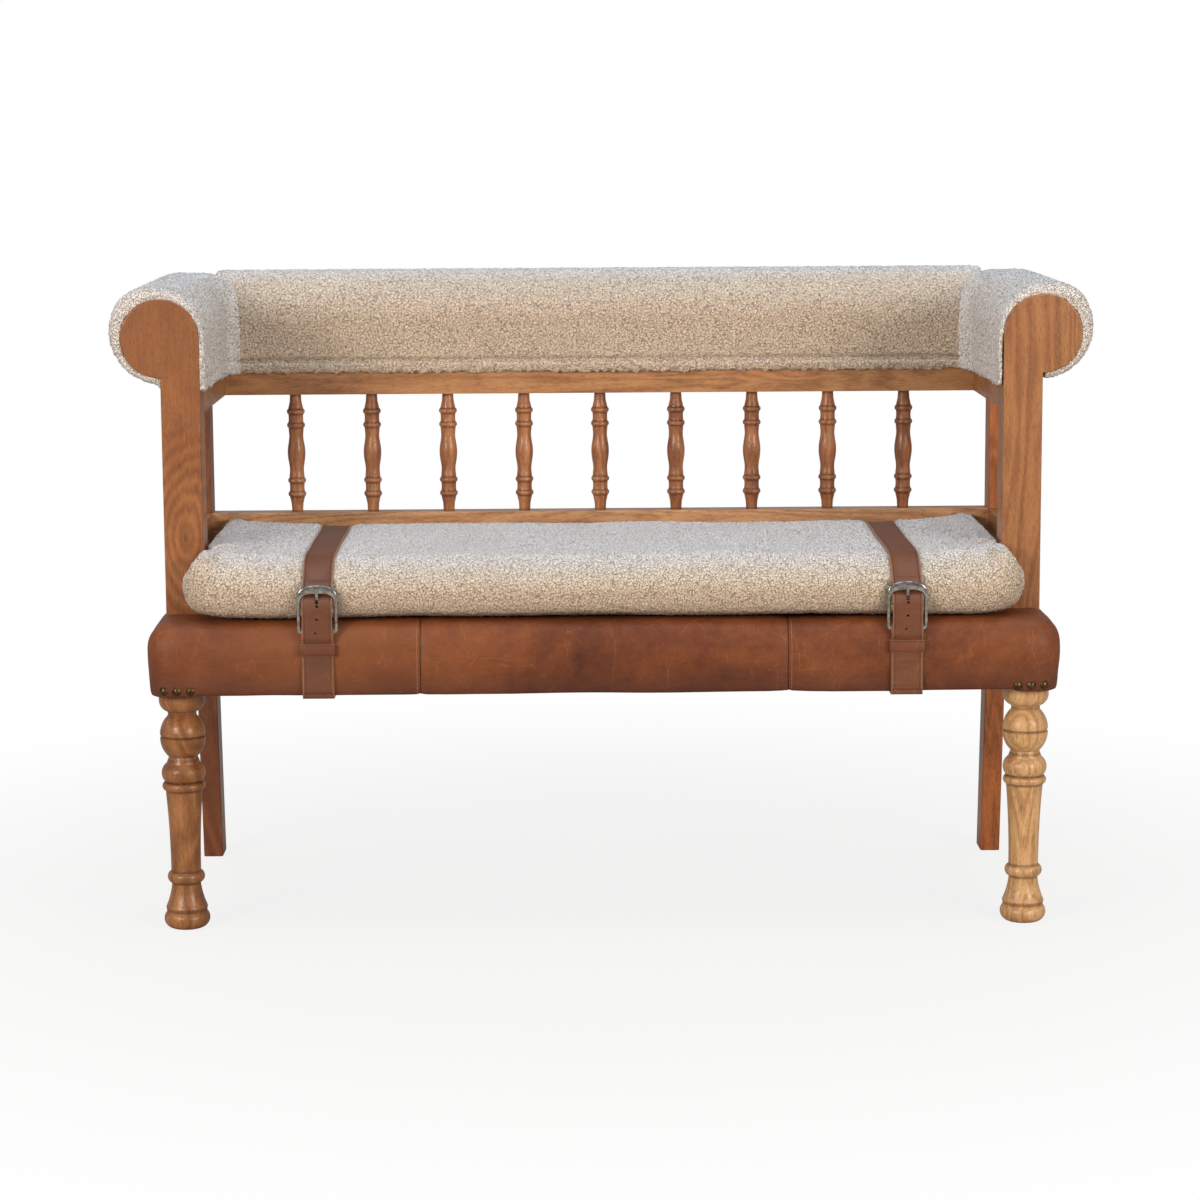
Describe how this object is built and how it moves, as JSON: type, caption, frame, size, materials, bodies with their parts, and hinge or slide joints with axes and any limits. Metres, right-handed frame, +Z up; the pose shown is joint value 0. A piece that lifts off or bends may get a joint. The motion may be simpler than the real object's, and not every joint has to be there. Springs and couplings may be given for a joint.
{
  "type": "hall bench",
  "caption": "Two-seat wooden hall bench with scroll arms, turned spindles and legs, a leather seat, padded arm and back rolls, and a cushion held by buckled belts.",
  "frame": {"origin": "on the floor, under the middle of the bench", "axes": "+X along the bench to the right of someone facing it, +Y from its front to its back, +Z up"},
  "size_m": [1.202, 0.4978, 0.789],
  "materials": {
    "stained_wood": "worn brown stain, satin",
    "frame_wood": "raw planed",
    "plywood": "raw sanded",
    "foam": "soft open-cell foam and wadding",
    "pile_fabric": "looped pale pile",
    "seat_leather": "oiled brown hide, scuffed",
    "belt_leather": "brown strap leather with pale edges",
    "buckle_metal": "aged silver",
    "nail_brass": "aged brass",
    "black_cloth": "black non-woven",
    "steel": "zinc plated"
  },
  "bodies": {
    "bench": {"arm_lower_rail_left": "stained_wood", "arm_lower_rail_right": "stained_wood", "arm_roll_core_left": "frame_wood", "arm_roll_core_right": "frame_wood", "arm_roll_cover_left": "pile_fabric", "arm_roll_cover_right": "pile_fabric", "arm_roll_padding_left": "foam", "arm_roll_padding_right": "foam", "arm_spindle_left_1": "stained_wood", "arm_spindle_left_2": "stained_wood", "arm_spindle_right_1": "stained_wood", "arm_spindle_right_2": "stained_wood", "arm_upper_rail_left": "stained_wood", "arm_upper_rail_right": "stained_wood", "back_lower_rail": "stained_wood", "back_roll_core": "frame_wood", "back_roll_cover": "pile_fabric", "back_roll_padding": "foam", "back_spindle_1": "stained_wood", "back_spindle_2": "stained_wood", "back_spindle_3": "stained_wood", "back_spindle_4": "stained_wood", "back_spindle_5": "stained_wood", "back_spindle_6": "stained_wood", "back_spindle_7": "stained_wood", "back_spindle_8": "stained_wood", "back_spindle_9": "stained_wood", "back_upper_rail": "stained_wood", "belt_strap_left": "belt_leather", "belt_strap_right": "belt_leather", "buckle_tab_left": "belt_leather", "buckle_tab_right": "belt_leather", "corner_block_left": "frame_wood", "corner_block_right": "frame_wood", "corner_nails": "nail_brass", "cushion_cover": "pile_fabric", "cushion_filling": "foam", "dust_cloth": "black_cloth", "frame_fasteners": "steel", "front_leg_left": "stained_wood", "front_leg_right": "stained_wood", "front_seat_rail": "frame_wood", "leather_panel_left": "seat_leather", "leather_panel_middle": "seat_leather", "leather_panel_right": "seat_leather", "rear_post_left": "stained_wood", "rear_post_right": "stained_wood", "rear_seat_rail": "frame_wood", "scroll_post_left": "stained_wood", "scroll_post_right": "stained_wood", "seat_deck": "plywood", "seat_padding": "foam", "side_seat_rail_left": "frame_wood", "side_seat_rail_right": "frame_wood"},
    "keeper_left": {"belt_keeper_left": "belt_leather"},
    "buckle_left": {"buckle_frame_left": "buckle_metal"},
    "prong_left": {"buckle_prong_left": "buckle_metal"},
    "keeper_right": {"belt_keeper_right": "belt_leather"},
    "buckle_right": {"buckle_frame_right": "buckle_metal"},
    "prong_right": {"buckle_prong_right": "buckle_metal"}
  },
  "joints": [
    {"name": "keeper_slide_left", "type": "slide", "parent": "bench", "child": "keeper_left", "axis": [0, 0, 1], "range_m": [-0.03, 0]},
    {"name": "buckle_tilt_left", "type": "hinge", "parent": "bench", "child": "buckle_left", "pos_m": [-0.345, -0.24108, 0.374], "axis": [1, 0, 0], "range_deg": [0, 3]},
    {"name": "prong_tilt_left", "type": "hinge", "parent": "buckle_left", "child": "prong_left", "pos_m": [-0.345, -0.24108, 0.374], "axis": [1, 0, 0], "range_deg": [0, 2]},
    {"name": "keeper_slide_right", "type": "slide", "parent": "bench", "child": "keeper_right", "axis": [0, 0, 1], "range_m": [-0.03, 0]},
    {"name": "buckle_tilt_right", "type": "hinge", "parent": "bench", "child": "buckle_right", "pos_m": [0.365, -0.24108, 0.374], "axis": [1, 0, 0], "range_deg": [0, 3]},
    {"name": "prong_tilt_right", "type": "hinge", "parent": "buckle_right", "child": "prong_right", "pos_m": [0.365, -0.24108, 0.374], "axis": [1, 0, 0], "range_deg": [0, 2]}
  ]
}
